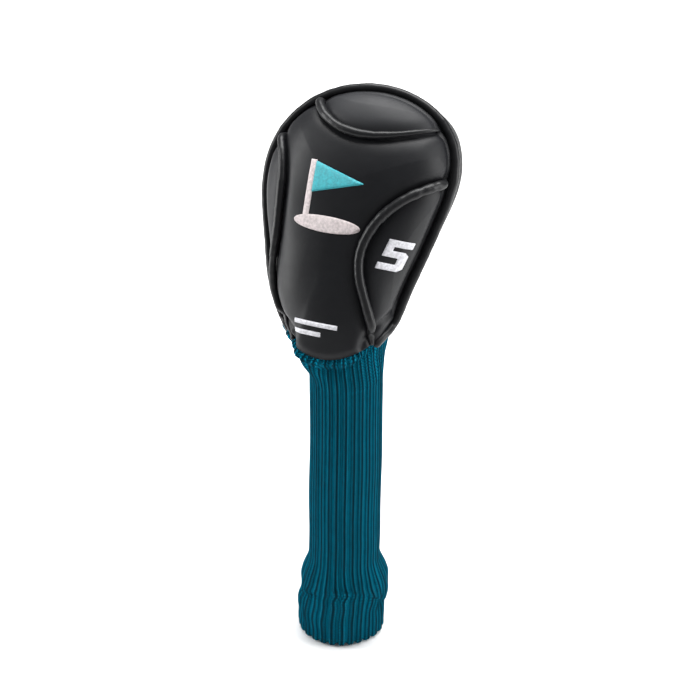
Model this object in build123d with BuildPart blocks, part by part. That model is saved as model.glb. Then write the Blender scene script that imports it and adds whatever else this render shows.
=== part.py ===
from build123d import *
import os
from math import atan2, cos, hypot, pi, radians, sin, sqrt

os.makedirs("parts", exist_ok=True)

# ---- frame: origin at the neck centre on the sock's axis, +Z up the sock, face towards -Y ----
LEAN_BACK = 28.0      # degrees the padded shell leans back from the sock's axis
LEAN_SIDE = 1.5       # degrees it leans towards +X

# ---- shell ----
FACE_HEIGHT = 28.0    # bulge of the face in front of the rim plane
BACK_HEIGHT = 12.0    # bulge of the back behind the gusset
GUSSET_DEPTH = 6.0    # gusset depth at the neck; it widens towards the toe
GUSSET_TAPER = 5.0    # degrees between the rim plane and the back plane
ROUNDNESS = 2.6       # exponent of the padded profile
LEATHER = 1.2
FOAM = 3.0
LINING = 0.8
THREAD = 0.6          # height of the embroidery above the leather
RELIEF = 60.0         # longer than the shell is deep

# ---- piping and welts ----
RIM_RADIUS = 2.8
WELT_RADIUS = 2.6
WELT_LIFT = 1.2       # welt centre above the leather
CORD_RADIUS = 1.6
RIM_OUTSET = 1.5      # piping centre outside the shell's wall

# ---- knit sock ----
KNIT = 2.5
SOCK_RADIUS = 20.5
SOCK_INNER = SOCK_RADIUS - KNIT
BLOUSE_TOP = -141.0
BLOUSE_Z = -160.0
BLOUSE_RADIUS = 26.0
CUFF_TOP = -171.0
CUFF_BOTTOM = -193.0
CUFF_RADIUS = 25.2
CUFF_INNER = 20.4
CUFF_LAYER = 1.6
BAND_BOTTOM = -12.0
ELASTIC = 1.2
FLEX_RADIUS = 24.0    # ball surface between the top band and the tube
FLEX_GAP = 0.4

# Rim outline seen square on to the face: u across, v along the shell, closed below the mouth
RIM = [
    (22, -50), (26, -20), (27, 5), (28.5, 30), (35.5, 57), (42, 82), (46, 108), (40, 128),
    (17, 144.5), (-12, 146.5), (-40, 134.5), (-57, 112), (-60.5, 86), (-56, 55), (-47, 26),
    (-36, 4), (-31, -20), (-27, -50), (-3, -62),
]
HEART = (-6.0, 78.0)  # point the padded contours shrink towards
CONTOURS = (1.0, 0.97, 0.9, 0.8, 0.66, 0.48, 0.25)

# Seam lines on the face, in the same u and v
TOE_SEAM = [(-42, 146), (-29, 129), (-13, 122), (3, 121.8), (20, 125.5), (50, 136)]
LEFT_SEAM = [(-59, 121), (-49, 104), (-45, 82), (-44.5, 52), (-43, 27), (-33, 8), (-22, -12)]
RIGHT_SEAM = [(56, 108), (35, 97), (14, 77), (7, 54), (15.6, 25.7), (24, -6)]
TONGUE = [(-50, 20), (-29, 6.5), (-18, -2.5), (-6, -5), (6, -2), (20.5, 10), (29, 29), (36, 46)]
BACK_HEM = [(-60, 0.3), (60, 39.2)]

tilt = radians(LEAN_BACK)
side = radians(LEAN_SIDE)
across = Vector(cos(side), -sin(side) * sin(tilt), -sin(side) * cos(tilt))
outward = Vector(0, -cos(tilt), sin(tilt))
FACE = Plane(origin=(0, 0, 0), x_dir=across, z_dir=outward)
taper = radians(GUSSET_TAPER)
BACK = Plane(
    origin=FACE.from_local_coords(Vector(0, 0, -GUSSET_DEPTH)),
    x_dir=FACE.x_dir,
    z_dir=FACE.z_dir * cos(taper) + FACE.y_dir * sin(taper),
)


def shifted(points, distance):
    """Closed outline moved outwards by distance, square to its own line."""
    moved = []
    for index, (u, v) in enumerate(points):
        before = points[index - 1]
        after = points[(index + 1) % len(points)]
        run = (after[0] - before[0], after[1] - before[1])
        length = hypot(*run)
        moved.append((u + distance * run[1] / length, v - distance * run[0] / length))
    return moved


def shrunk(points, scale):
    """Outline scaled towards the heart of the shell."""
    return [(HEART[0] + scale * (u - HEART[0]), HEART[1] + scale * (v - HEART[1])) for u, v in points]


def profile(scale):
    """Share of the full bulge reached where the outline has shrunk to scale."""
    return sqrt(max(0.0, 1.0 - scale**ROUNDNESS))


def padded(base, outline, height):
    """Pillow on a plane: contours that shrink as they rise."""
    with BuildPart() as pillow:
        for scale in CONTOURS:
            with BuildSketch(base.offset(height * profile(scale))):
                with BuildLine():
                    Spline(*shrunk(outline, scale), periodic=True)
                make_face()
        loft()
    return pillow.part


def below(curve):
    """Everything below a curve across the face, through the whole depth."""
    ends = [(curve[-1][0], -90), (curve[0][0], -90)]
    with BuildPart() as block:
        with BuildSketch(FACE):
            with BuildLine():
                Spline(*curve)
                Polyline(curve[-1], *ends, curve[0])
            make_face()
        extrude(amount=RELIEF, both=True)
    return block.part


def beyond(seam, *corners):
    """Prism through the face, bounded by a seam and then by straight lines round the corners."""
    with BuildPart() as block:
        with BuildSketch(FACE):
            with BuildLine():
                Spline(*seam)
                Polyline(seam[-1], *corners, seam[0])
            make_face()
        extrude(amount=RELIEF)
    return block.part


WALL = shifted(RIM, -RIM_OUTSET)
tongue_cut = below(TONGUE)
hem_cut = below(BACK_HEM)


def front_volume(inset):
    """Filled front of the shell, drawn in by inset and cut along the tongue."""
    return padded(FACE, shifted(WALL, -inset), FACE_HEIGHT - inset) - tongue_cut


def rear_volumes(inset):
    """Filled gusset and filled back of the shell, drawn in by inset and cut along the hem."""
    outline = shifted(WALL, -inset)
    with BuildPart() as wall:
        for base in (FACE, BACK):
            with BuildSketch(base):
                with BuildLine():
                    Spline(*outline, periodic=True)
                make_face()
        loft()
    rear = padded(Plane(BACK.origin, x_dir=BACK.x_dir, z_dir=-BACK.z_dir),
                  [(u, -v) for u, v in outline][::-1], BACK_HEIGHT - inset)
    return wall.part - hem_cut, rear - hem_cut


def wall_table(samples=720):
    """Angle and distance of the wall line, seen from the heart."""
    line = Spline(*WALL, periodic=True)
    table = []
    for index in range(samples):
        point = line @ (index / samples)
        table.append((atan2(point.Y - HEART[1], point.X - HEART[0]),
                      hypot(point.X - HEART[0], point.Y - HEART[1])))
    return sorted(table)


WALL_TABLE = wall_table()


def contour_scale(u, v):
    """Which contour passes through u, v: 0 at the heart, 1 at the wall."""
    angle = atan2(v - HEART[1], u - HEART[0])
    nearest = min(WALL_TABLE, key=lambda entry: abs(entry[0] - angle))
    return hypot(u - HEART[0], v - HEART[1]) / nearest[1]


def welt_path(seam, samples=96, knots=13):
    """Line on the face along a seam, from wall to wall or down past the mouth."""
    line = Spline(*seam)
    flat = [line @ (index / samples) for index in range(samples + 1)]
    inside = [(point.X, point.Y) for point in flat if contour_scale(point.X, point.Y) < 0.99]
    picked = [inside[round(index * (len(inside) - 1) / (knots - 1))] for index in range(knots)]
    raised = [Vector(u, v, FACE_HEIGHT * profile(contour_scale(u, v)) + WELT_LIFT) for u, v in picked]
    return Spline(*[FACE.from_local_coords(point) for point in raised])


def largest(shape):
    """Main solid of a cut shape, without trimmings."""
    return max(shape.solids(), key=lambda solid: solid.volume)


def rod(path, radius):
    """Round bar along a path."""
    with BuildPart() as bar:
        with BuildSketch(Plane(origin=path @ 0, z_dir=path % 0)):
            Circle(radius)
        sweep(path=path)
    return bar.part


# ---- volumes shared by the layers ----
front_0 = front_volume(0)
front_1 = front_volume(LEATHER)
front_2 = front_volume(LEATHER + FOAM)
front_3 = front_volume(LEATHER + FOAM + LINING)
gusset_0, back_0 = rear_volumes(0)
gusset_1, back_1 = rear_volumes(LEATHER)
gusset_2, back_2 = rear_volumes(LEATHER + FOAM)
gusset_3, back_3 = rear_volumes(LEATHER + FOAM + LINING)
shell_fill = front_0 + gusset_0 + back_0

rim_path = FACE.from_local_coords(Spline(*RIM, periodic=True))
rim_rod = rod(rim_path, RIM_RADIUS) - hem_cut
rim_core = rod(rim_path, CORD_RADIUS) - hem_cut
toe_path = welt_path(TOE_SEAM)
left_path = welt_path(LEFT_SEAM)
right_path = welt_path(RIGHT_SEAM)
toe_rod = rod(toe_path, WELT_RADIUS) - rim_rod
left_rod = rod(left_path, WELT_RADIUS) - rim_rod - tongue_cut
right_rod = rod(right_path, WELT_RADIUS) - rim_rod - tongue_cut
toe_core = rod(toe_path, CORD_RADIUS) - rim_rod
left_core = rod(left_path, CORD_RADIUS) - rim_rod - tongue_cut
right_core = rod(right_path, CORD_RADIUS) - rim_rod - tongue_cut
rods = rim_rod + toe_rod + left_rod + right_rod

toe_zone = beyond(TOE_SEAM, (70, 175), (-70, 175))
left_zone = beyond(LEFT_SEAM, (-22, -60), (-90, -60), (-90, 119))
right_zone = beyond(RIGHT_SEAM, (24, -60), (90, -60), (90, 108))
side_zones = toe_zone + left_zone + right_zone
foam_hem = below([(u, v + 9) for u, v in TONGUE])

# ---- leather panels of the face ----
front_leather = front_0 - front_1 - rods

with BuildPart() as front_centre_panel:
    add(largest(front_leather - side_zones))
front_centre_panel.part.label = "front_centre_panel"
export_step(front_centre_panel.part, "parts/front_centre_panel.step")

with BuildPart() as toe_panel:
    add(front_leather)
    add(toe_zone, mode=Mode.INTERSECT)
toe_panel.part.label = "toe_panel"
export_step(toe_panel.part, "parts/toe_panel.step")

with BuildPart() as left_side_panel:
    add(front_leather)
    add(left_zone, mode=Mode.INTERSECT)
left_side_panel.part.label = "left_side_panel"
export_step(left_side_panel.part, "parts/left_side_panel.step")

with BuildPart() as right_side_panel:
    add(front_leather)
    add(right_zone, mode=Mode.INTERSECT)
right_side_panel.part.label = "right_side_panel"
export_step(right_side_panel.part, "parts/right_side_panel.step")

# ---- gusset and back ----
with BuildPart() as side_gusset:
    add(gusset_0)
    add(gusset_1, mode=Mode.SUBTRACT)
    add(rim_rod, mode=Mode.SUBTRACT)
side_gusset.part.label = "side_gusset"
export_step(side_gusset.part, "parts/side_gusset.step")

with BuildPart() as back_panel:
    add(back_0)
    add(back_1, mode=Mode.SUBTRACT)
back_panel.part.label = "back_panel"
export_step(back_panel.part, "parts/back_panel.step")

# ---- foam behind each panel ----
front_foam = front_1 - front_2 - rods - foam_hem

with BuildPart() as front_centre_foam:
    add(front_foam)
    add(side_zones, mode=Mode.SUBTRACT)
front_centre_foam.part.label = "front_centre_foam"
export_step(front_centre_foam.part, "parts/front_centre_foam.step")

with BuildPart() as toe_foam:
    add(front_foam)
    add(toe_zone, mode=Mode.INTERSECT)
toe_foam.part.label = "toe_foam"
export_step(toe_foam.part, "parts/toe_foam.step")

with BuildPart() as left_foam:
    add(front_foam)
    add(left_zone, mode=Mode.INTERSECT)
left_foam.part.label = "left_foam"
export_step(left_foam.part, "parts/left_foam.step")

with BuildPart() as right_foam:
    add(front_foam)
    add(right_zone, mode=Mode.INTERSECT)
right_foam.part.label = "right_foam"
export_step(right_foam.part, "parts/right_foam.step")

with BuildPart() as gusset_foam:
    add(gusset_1)
    add(gusset_2, mode=Mode.SUBTRACT)
    add(rim_rod, mode=Mode.SUBTRACT)
gusset_foam.part.label = "gusset_foam"
export_step(gusset_foam.part, "parts/gusset_foam.step")

with BuildPart() as back_foam:
    add(back_1)
    add(back_2, mode=Mode.SUBTRACT)
back_foam.part.label = "back_foam"
export_step(back_foam.part, "parts/back_foam.step")

# ---- lining of the pocket ----
with BuildPart() as front_lining:
    add(front_2)
    add(front_3, mode=Mode.SUBTRACT)
    add(rods, mode=Mode.SUBTRACT)
front_lining.part.label = "front_lining"
export_step(front_lining.part, "parts/front_lining.step")

with BuildPart() as gusset_lining:
    add(gusset_2)
    add(gusset_3, mode=Mode.SUBTRACT)
    add(rim_rod, mode=Mode.SUBTRACT)
gusset_lining.part.label = "gusset_lining"
export_step(gusset_lining.part, "parts/gusset_lining.step")

with BuildPart() as back_lining:
    add(back_2)
    add(back_3, mode=Mode.SUBTRACT)
back_lining.part.label = "back_lining"
export_step(back_lining.part, "parts/back_lining.step")

# ---- rim piping and welts, each a leather sleeve over a cord ----
with BuildPart() as rim_piping:
    add(rim_rod)
    add(rim_core, mode=Mode.SUBTRACT)
rim_piping.part.label = "rim_piping"
export_step(rim_piping.part, "parts/rim_piping.step")

with BuildPart() as rim_cord:
    add(rim_core)
rim_cord.part.label = "rim_cord"
export_step(rim_cord.part, "parts/rim_cord.step")

with BuildPart() as toe_welt:
    add(toe_rod)
    add(toe_core, mode=Mode.SUBTRACT)
toe_welt.part.label = "toe_welt"
export_step(toe_welt.part, "parts/toe_welt.step")

with BuildPart() as toe_welt_cord:
    add(toe_core)
toe_welt_cord.part.label = "toe_welt_cord"
export_step(toe_welt_cord.part, "parts/toe_welt_cord.step")

with BuildPart() as left_welt:
    add(left_rod)
    add(left_core, mode=Mode.SUBTRACT)
left_welt.part.label = "left_welt"
export_step(left_welt.part, "parts/left_welt.step")

with BuildPart() as left_welt_cord:
    add(left_core)
left_welt_cord.part.label = "left_welt_cord"
export_step(left_welt_cord.part, "parts/left_welt_cord.step")

with BuildPart() as right_welt:
    add(right_rod)
    add(right_core, mode=Mode.SUBTRACT)
right_welt.part.label = "right_welt"
export_step(right_welt.part, "parts/right_welt.step")

with BuildPart() as right_welt_cord:
    add(right_core)
right_welt_cord.part.label = "right_welt_cord"
export_step(right_welt_cord.part, "parts/right_welt_cord.step")

# ---- embroidery, standing THREAD proud of the leather ----
stitched_skin = front_volume(-THREAD) - front_0 - rods

# flag emblem
POLE_U = -30.0
POLE_WIDTH = 3.0
POLE_FOOT = 72.0
POLE_TOP = 106.0
PENNANT = [(-28.5, 105.5), (-28.5, 88), (2, 96.8)]
GREEN_CENTRE = (-15.0, 70.5)
GREEN_RADII = (22.0, 4.6)

with BuildPart() as emblem_pole:
    with BuildSketch(FACE):
        with Locations((POLE_U, (POLE_FOOT + POLE_TOP) / 2)):
            Rectangle(POLE_WIDTH, POLE_TOP - POLE_FOOT)
        with Locations(GREEN_CENTRE):
            Ellipse(*GREEN_RADII)
    extrude(amount=RELIEF)
    add(stitched_skin, mode=Mode.INTERSECT)
emblem_pole.part.label = "emblem_pole"
export_step(emblem_pole.part, "parts/emblem_pole.step")

with BuildPart() as emblem_pennant:
    with BuildSketch(FACE):
        Polygon(*PENNANT, align=None)
    extrude(amount=RELIEF)
    add(stitched_skin, mode=Mode.INTERSECT)
emblem_pennant.part.label = "emblem_pennant"
export_step(emblem_pennant.part, "parts/emblem_pennant.step")

# figure five, drawn as one stroke with square corners
FIVE = [
    (16.5, 66.5), (31.5, 66.5), (31.5, 62.8), (20.4, 62.8), (20.4, 60.4), (30.4, 60.4),
    (31.8, 59), (31.8, 51.6), (30.2, 50), (15.8, 50), (15.8, 53.7), (27.9, 53.7),
    (27.9, 56.9), (16.5, 56.9),
]

with BuildPart() as number_five:
    with BuildSketch(FACE):
        Polygon(*FIVE, align=None)
    extrude(amount=RELIEF)
    add(stitched_skin, mode=Mode.INTERSECT)
number_five.part.label = "number_five"
export_step(number_five.part, "parts/number_five.step")

# two plain stitched bars low on the face
BAR_LEFT = -25.0
BAR_HEIGHT = 2.6
UPPER_BAR = (26.0, 14.0)
LOWER_BAR = (17.0, 8.6)


def stitched_bar(length, level):
    """Plain bar of satin stitch with its left end at BAR_LEFT."""
    with BuildPart() as bar:
        with BuildSketch(FACE):
            with Locations((BAR_LEFT + length / 2, level)):
                SlotOverall(length, BAR_HEIGHT)
        extrude(amount=RELIEF)
    return bar.part


with BuildPart() as stitched_bar_upper:
    add(stitched_bar(*UPPER_BAR))
    add(stitched_skin, mode=Mode.INTERSECT)
stitched_bar_upper.part.label = "stitched_bar_upper"
export_step(stitched_bar_upper.part, "parts/stitched_bar_upper.step")

with BuildPart() as stitched_bar_lower:
    add(stitched_bar(*LOWER_BAR))
    add(stitched_skin, mode=Mode.INTERSECT)
stitched_bar_lower.part.label = "stitched_bar_lower"
export_step(stitched_bar_lower.part, "parts/stitched_bar_lower.step")

# ---- sock: gathered band sewn into the mouth ----
GATHER_CENTRE = (-3.5, 2.5)
GATHER_RADII = (30.5, 25.5)
GATHER_LEVEL = 20.0
GATHER_SLOPE = 19.0
GATHER_PLANE = Plane((*GATHER_CENTRE, GATHER_LEVEL)).rotated((0, -GATHER_SLOPE, 0))
BAND_THROAT = -4.0

with BuildPart() as gather:
    with BuildSketch(GATHER_PLANE):
        Ellipse(*GATHER_RADII)
    with BuildSketch(Plane.XY.offset(BAND_BOTTOM)):
        Circle(SOCK_RADIUS + 0.2)
    loft()
    with BuildSketch(GATHER_PLANE):
        Ellipse(GATHER_RADII[0] - KNIT, GATHER_RADII[1] - KNIT)
    with BuildSketch(Plane.XY.offset(BAND_THROAT)):
        Circle(SOCK_INNER + 0.2)
    loft(mode=Mode.SUBTRACT)
    with BuildSketch(Plane.XY.offset(BAND_BOTTOM)):
        Circle(SOCK_INNER + 0.2)
    extrude(amount=BAND_THROAT - BAND_BOTTOM, mode=Mode.SUBTRACT)
    add(shell_fill, mode=Mode.SUBTRACT)
    add(rods, mode=Mode.SUBTRACT)
    with BuildSketch(Plane.XZ):
        with BuildLine():
            flex = CenterArc((0, 0), FLEX_RADIUS, -80, 75)
            Polyline(flex @ 1, (40, (flex @ 1).Y), (40, (flex @ 0).Y), flex @ 0)
        make_face()
    revolve(axis=Axis.Z, mode=Mode.SUBTRACT)

with BuildPart() as sock_top_band:
    add(largest(gather.part))
sock_top_band.part.label = "sock_top_band"
export_step(sock_top_band.part, "parts/sock_top_band.step")

with BuildPart() as neck_elastic:
    with BuildSketch(Plane.XY.offset(BAND_BOTTOM + 1)):
        Circle(SOCK_INNER + 0.2)
        Circle(SOCK_INNER + 0.2 - ELASTIC, mode=Mode.SUBTRACT)
    extrude(amount=6)
neck_elastic.part.label = "neck_elastic"
export_step(neck_elastic.part, "parts/neck_elastic.step")

# ---- sock: ribbed tube that blouses over the cuff ----
with BuildPart() as sock_tube:
    with BuildSketch(Plane.XZ):
        with BuildLine():
            outer = Polyline((SOCK_RADIUS, BAND_BOTTOM), (SOCK_RADIUS, BLOUSE_TOP))
            blouse = Spline(outer @ 1, (BLOUSE_RADIUS, BLOUSE_Z), (CUFF_RADIUS - 0.4, CUFF_TOP),
                            tangents=((0, -1), (-0.6, -1)))
            hem = Line(blouse @ 1, (CUFF_INNER, CUFF_TOP))
            gather = Spline(hem @ 1, (BLOUSE_RADIUS - KNIT - 0.6, BLOUSE_Z), (SOCK_INNER, BLOUSE_TOP),
                            tangents=((0.6, 1), (0, 1)))
            Polyline(gather @ 1, (SOCK_INNER, BAND_BOTTOM), outer @ 0)
        make_face()
    revolve(axis=Axis.Z)
    Sphere(FLEX_RADIUS + FLEX_GAP, mode=Mode.SUBTRACT)
sock_tube.part.label = "sock_tube"
export_step(sock_tube.part, "parts/sock_tube.step")

# ---- sock: cuff folded over an elastic band ----
FOLD_DEPTH = 4.0

with BuildPart() as cuff:
    with BuildSketch(Plane.XZ):
        with Locations(((CUFF_RADIUS + CUFF_INNER) / 2, (CUFF_TOP + CUFF_BOTTOM) / 2)):
            Rectangle(CUFF_RADIUS - CUFF_INNER, CUFF_TOP - CUFF_BOTTOM)
    revolve(axis=Axis.Z)
    bottom_edges = cuff.edges().filter_by(GeomType.CIRCLE).group_by(Axis.Z)[0]
    fillet(bottom_edges, radius=(CUFF_RADIUS - CUFF_INNER) / 2 - 0.1)
    with BuildSketch(Plane.XY.offset(CUFF_TOP)):
        Circle(CUFF_RADIUS - CUFF_LAYER)
        Circle(CUFF_INNER + CUFF_LAYER, mode=Mode.SUBTRACT)
    extrude(amount=CUFF_BOTTOM - CUFF_TOP + FOLD_DEPTH, mode=Mode.SUBTRACT)
cuff.part.label = "cuff"
export_step(cuff.part, "parts/cuff.step")

with BuildPart() as cuff_elastic:
    with BuildSketch(Plane.XY.offset(CUFF_BOTTOM + FOLD_DEPTH)):
        Circle(CUFF_RADIUS - CUFF_LAYER)
        Circle(CUFF_INNER + CUFF_LAYER, mode=Mode.SUBTRACT)
    extrude(amount=12)
cuff_elastic.part.label = "cuff_elastic"
export_step(cuff_elastic.part, "parts/cuff_elastic.step")
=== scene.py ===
import bpy
import math
import numpy as np
from mathutils import Matrix, Vector


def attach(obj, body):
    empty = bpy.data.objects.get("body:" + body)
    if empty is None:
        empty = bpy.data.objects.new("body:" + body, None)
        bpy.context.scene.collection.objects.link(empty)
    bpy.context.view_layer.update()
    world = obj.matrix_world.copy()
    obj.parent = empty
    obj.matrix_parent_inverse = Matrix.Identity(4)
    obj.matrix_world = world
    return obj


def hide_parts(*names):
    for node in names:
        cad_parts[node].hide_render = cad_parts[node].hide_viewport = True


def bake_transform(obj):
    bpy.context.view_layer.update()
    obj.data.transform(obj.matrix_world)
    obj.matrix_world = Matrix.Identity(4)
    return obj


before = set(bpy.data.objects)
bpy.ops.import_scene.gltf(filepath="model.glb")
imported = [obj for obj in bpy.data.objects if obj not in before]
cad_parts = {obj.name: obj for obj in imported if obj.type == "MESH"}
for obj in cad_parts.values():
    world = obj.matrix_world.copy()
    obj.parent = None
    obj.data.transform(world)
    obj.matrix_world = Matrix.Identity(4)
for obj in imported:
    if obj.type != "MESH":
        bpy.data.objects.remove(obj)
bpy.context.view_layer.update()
MM = 0.001

# ------------------------------------------------------------------ shell frame, as in the CAD
LEAN_BACK = math.radians(28.0)
LEAN_SIDE = math.radians(1.5)
FACE_HEIGHT = 28.0
BACK_HEIGHT = 12.0
GUSSET_DEPTH = 6.0
GUSSET_TAPER = math.radians(5.0)
ROUNDNESS = 2.6
RIM_OUTSET = 1.5
RIM_RADIUS = 2.8
SOCK_RADIUS = 20.5
HEART = np.array([-6.0, 78.0])
RIM = np.array([
    (22, -50), (26, -20), (27, 5), (28.5, 30), (35.5, 57), (42, 82), (46, 108), (40, 128),
    (17, 144.5), (-12, 146.5), (-40, 134.5), (-57, 112), (-60.5, 86), (-54, 55), (-46, 26),
    (-36, 4), (-31, -20), (-27, -50), (-3, -62)], float)
TOE_SEAM = [(-42, 146), (-29, 129), (-13, 122), (3, 121.8), (20, 125.5), (50, 136)]
LEFT_SEAM = [(-59, 121), (-49, 104), (-45, 82), (-44.5, 52), (-43, 27), (-33, 8), (-22, -12)]
RIGHT_SEAM = [(56, 108), (35, 97), (14, 77), (7, 54), (15.6, 25.7), (24, -6)]
TONGUE = [(-50, 20), (-40, 12.5), (-31, 5.4), (-20.5, -2), (-7, -5), (5, -2.5), (19.5, 8.5), (29, 29),
          (36, 46)]
HEM = [(-60, 0.3), (60, 39.2)]

# Layers of the shell, outside to inside
SKIN_THICKNESS = 1.1
FOAM_DEPTH, FOAM_THICKNESS = 1.3, 2.7
LINING_DEPTH, LINING_THICKNESS = 4.2, 0.8
FOAM_HEM = 9.0
KNIT_THICKNESS = 1.6

AXIS_U = np.array([math.cos(LEAN_SIDE), -math.sin(LEAN_SIDE) * math.sin(LEAN_BACK),
                   -math.sin(LEAN_SIDE) * math.cos(LEAN_BACK)])
AXIS_W = np.array([0.0, -math.cos(LEAN_BACK), math.sin(LEAN_BACK)])
AXIS_V = np.cross(AXIS_W, AXIS_U)
BACK_V = AXIS_V * math.cos(GUSSET_TAPER) - AXIS_W * math.sin(GUSSET_TAPER)
BACK_W = AXIS_W * math.cos(GUSSET_TAPER) + AXIS_V * math.sin(GUSSET_TAPER)


def smooth(x, low, high):
    """Eased step from 0 at low to 1 at high."""
    t = np.clip((x - low) / (high - low), 0, 1)
    return t * t * (3 - 2 * t)


def spline(points, count, closed=False):
    """Cubic curve through the points, sampled count times."""
    p = np.asarray(points, float)
    if closed:
        p = np.vstack([p, p[:1]])
    n = len(p)
    if n == 2:
        return p[0] + np.linspace(0, 1, count)[:, None] * (p[1] - p[0])
    d = np.r_[0, np.cumsum(np.linalg.norm(np.diff(p, axis=0), axis=1))]
    h = np.diff(d)
    a = np.zeros((n, n))
    b = np.zeros((n, p.shape[1]))
    for i in range(1, n - 1):
        a[i, i - 1], a[i, i], a[i, i + 1] = h[i - 1], 2 * (h[i - 1] + h[i]), h[i]
        b[i] = 6 * ((p[i + 1] - p[i]) / h[i] - (p[i] - p[i - 1]) / h[i - 1])
    if closed:
        a[0, 0], a[0, 1], a[0, n - 2], a[0, n - 1] = 2 * h[0], h[0], h[-1], 2 * h[-1]
        b[0] = 6 * ((p[1] - p[0]) / h[0] - (p[0] - p[n - 2]) / h[-1])
        a[n - 1, 0], a[n - 1, n - 1] = 1, -1
    else:
        a[0, 0] = a[n - 1, n - 1] = 1
    m = np.linalg.solve(a, b)
    t = np.linspace(0, d[-1], count + (1 if closed else 0))[: count]
    i = np.clip(np.searchsorted(d, t, "right") - 1, 0, n - 2)
    x, hh = (t - d[i])[:, None], h[i][:, None]
    slope = (p[i + 1] - p[i]) / hh - hh * (2 * m[i] + m[i + 1]) / 6
    return p[i] + slope * x + m[i] * x**2 / 2 + (m[i + 1] - m[i]) * x**3 / (6 * hh)


def noise(p, seed, size):
    """Smooth bumps of about that size in mm, between about -1 and 1."""
    rng = np.random.default_rng(seed)
    total = 0
    for _ in range(9):
        k = rng.normal(size=3)
        k *= 2 * math.pi / (size * rng.uniform(0.8, 1.5)) / np.linalg.norm(k)
        total = total + np.sin(p @ k + rng.uniform(0, 6.28))
    return total / 3.2


def offset_outline(points, outset):
    """Closed outline moved outwards by outset."""
    run = np.roll(points, -1, axis=0) - np.roll(points, 1, axis=0)
    run /= np.linalg.norm(run, axis=1)[:, None]
    return points + outset * np.stack([run[:, 1], -run[:, 0]], 1)


WALL = spline(offset_outline(RIM, -RIM_OUTSET), 2400, closed=True)
_polar = np.arctan2(WALL[:, 1] - HEART[1], WALL[:, 0] - HEART[0])
_reach = np.linalg.norm(WALL - HEART, axis=1)
_order = np.argsort(_polar)
POLAR, REACH = _polar[_order], _reach[_order]


def wall_reach(phi):
    """Distance from the heart to the wall in the direction phi."""
    return np.interp((phi + math.pi) % (2 * math.pi) - math.pi, POLAR, REACH, period=2 * math.pi)


TURN_STEPS = 720
BLUR_STEPS = 46.0
_turn = np.linspace(-math.pi, math.pi, TURN_STEPS, endpoint=False)
_step = np.arange(TURN_STEPS)
_window = np.exp(-(np.minimum(_step, TURN_STEPS - _step) / BLUR_STEPS) ** 2)
ROUND_REACH = np.real(np.fft.ifft(np.fft.fft(wall_reach(_turn)) * np.fft.fft(_window / _window.sum())))


def round_reach(phi):
    """Reach of the contours near the middle, which are rounder than the wall."""
    return np.interp((phi + math.pi) % (2 * math.pi) - math.pi, _turn, ROUND_REACH, period=2 * math.pi)


def polar_of(uv):
    """Angle round the heart and lift angle of the point of the face above u, v."""
    q = uv - HEART
    phi = np.arctan2(q[:, 1], q[:, 0])
    far, near, d = wall_reach(phi), round_reach(phi), np.linalg.norm(q, axis=1)
    s = np.clip(d / far, 0, 1)
    for _ in range(12):
        s = np.clip(s - (s * (near + (far - near) * s**2) - d) / (near + 3 * (far - near) * s**2), 0, 1)
    return phi, np.arcsin(s ** (ROUNDNESS / 2))


def flat_uv(phi, theta):
    """Place in the face's plane of the dome's point at angle phi and lift angle theta."""
    s = np.sin(theta) ** (2 / ROUNDNESS)
    near = round_reach(phi)
    r = (s * (near + (wall_reach(phi) - near) * s**2))[:, None]
    return HEART + r * np.stack([np.cos(phi), np.sin(phi)], 1)


def face_base(phi, theta):
    """Point of the plain face, a dome over the wall."""
    uv = flat_uv(phi, theta)
    return uv[:, :1] * AXIS_U + uv[:, 1:] * AXIS_V + (FACE_HEIGHT * np.cos(theta))[:, None] * AXIS_W


def back_base(phi, theta):
    """Point of the plain back, a flatter dome the other way."""
    uv = flat_uv(phi, theta)
    return (uv[:, :1] * AXIS_U + uv[:, 1:] * BACK_V - GUSSET_DEPTH * AXIS_W
            - (BACK_HEIGHT * np.cos(theta))[:, None] * BACK_W)


def distance(p, line):
    """Shortest distance from each point to a polyline's points."""
    batch = 20000
    out = np.empty(len(p))
    for i in range(0, len(p), batch):
        q = p[i:i + batch]
        d2 = (q**2).sum(1)[:, None] + (line**2).sum(1)[None] - 2 * q @ line.T
        out[i:i + batch] = np.sqrt(np.maximum(d2.min(1), 0))
    return out


def signed(uv, seam):
    """Signed distance to an open line in u, v: positive on the left of its direction."""
    beyond, batch = 200, 8000
    line = spline(seam, 260)
    first = line[0] - (line[1] - line[0]) / np.linalg.norm(line[1] - line[0]) * beyond
    last = line[-1] + (line[-1] - line[-2]) / np.linalg.norm(line[-1] - line[-2]) * beyond
    line = np.vstack([first, line, last])
    a, b = line[:-1], line[1:]
    ab = b - a
    out = np.empty(len(uv))
    for i in range(0, len(uv), batch):
        q = uv[i:i + batch, None]
        t = np.clip(((q - a) * ab).sum(2) / (ab**2).sum(1), 0, 1)
        gap = q - (a + t[..., None] * ab)
        d = np.linalg.norm(gap, axis=2)
        k = d.argmin(1)
        cross = ab[k, 0] * gap[np.arange(len(k)), k, 1] - ab[k, 1] * gap[np.arange(len(k)), k, 0]
        out[i:i + batch] = d[np.arange(len(k)), k] * np.where(cross >= 0, 1, -1)
    return out


SEAM_POINTS = 420


def seam_line(seam):
    """Seam drawn on the undisplaced face, from the wall inwards or down to the mouth."""
    uv = spline(seam, SEAM_POINTS)
    q = uv - HEART
    s = np.linalg.norm(q, axis=1) / wall_reach(np.arctan2(q[:, 1], q[:, 0]))
    uv = uv[s < 0.995]
    return uv, face_base(*polar_of(uv))


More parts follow.
